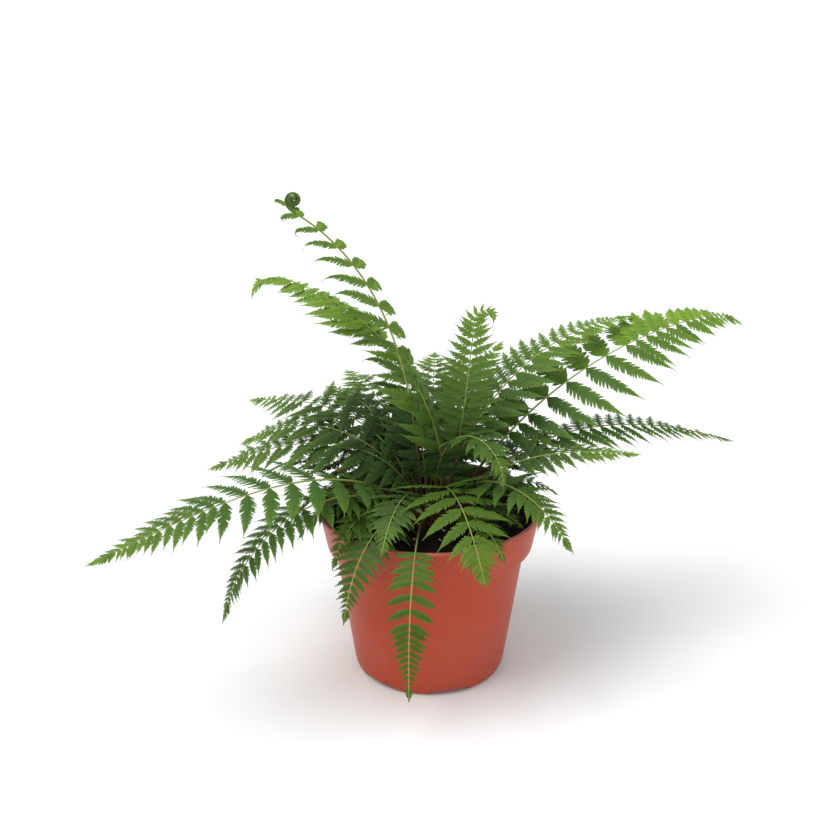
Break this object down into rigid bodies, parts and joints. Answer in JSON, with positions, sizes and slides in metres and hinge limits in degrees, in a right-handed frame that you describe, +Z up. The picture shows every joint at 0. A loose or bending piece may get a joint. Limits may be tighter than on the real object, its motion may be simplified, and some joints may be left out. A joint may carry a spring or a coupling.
{
  "type": "potted fern",
  "caption": "Young soft tree fern with arching pinnate fronds and a coiled crozier, growing in a round plastic nursery pot filled with soil.",
  "frame": {"origin": "centre of the pot's foot, at the level the pot rests on", "axes": "+Z up along the pot's axis, +X towards the long frond on the right of the front view, -Y towards the viewer of the front view, where one frond hangs over the rim"},
  "size_m": [0.3373, 0.1939, 0.2623],
  "materials": {
    "pot_plastic": "satin",
    "soil": "matte",
    "crown_fibre": "matte",
    "leaf_bright": "satin",
    "leaf_green": "satin",
    "leaf_deep": "satin"
  },
  "bodies": {
    "root": {"pot": "pot_plastic", "potting_soil": "soil", "crown": "crown_fibre", "frond_front": "leaf_bright", "frond_hanging": "leaf_bright", "frond_crozier": "leaf_green", "frond_tall_left": "leaf_bright", "frond_long_right": "leaf_green", "frond_back_right": "leaf_green", "frond_long_left": "leaf_green", "frond_drooping_left": "leaf_green", "frond_mid_right": "leaf_green", "frond_low_right": "leaf_deep", "frond_front_right": "leaf_green", "frond_hanging_left": "leaf_green", "frond_rim_left": "leaf_bright", "frond_rim_left_low": "leaf_green", "frond_dark_left": "leaf_deep", "frond_left_a": "leaf_deep", "frond_left_b": "leaf_deep", "frond_left_c": "leaf_deep", "frond_centre": "leaf_green", "frond_young": "leaf_bright", "frond_tip_right": "leaf_bright", "frond_rim_right": "leaf_green", "frond_back_centre": "leaf_deep", "frond_back_left": "leaf_deep", "frond_low_back_a": "leaf_deep", "frond_low_back_b": "leaf_deep", "frond_low_back_c": "leaf_deep", "frond_inner_right": "leaf_green", "frond_inner_back_a": "leaf_deep", "frond_inner_back_b": "leaf_deep", "frond_inner_back_c": "leaf_deep", "frond_rim_right_long": "leaf_green", "frond_low_left": "leaf_deep", "frond_centre_left": "leaf_deep"}
  },
  "joints": []
}
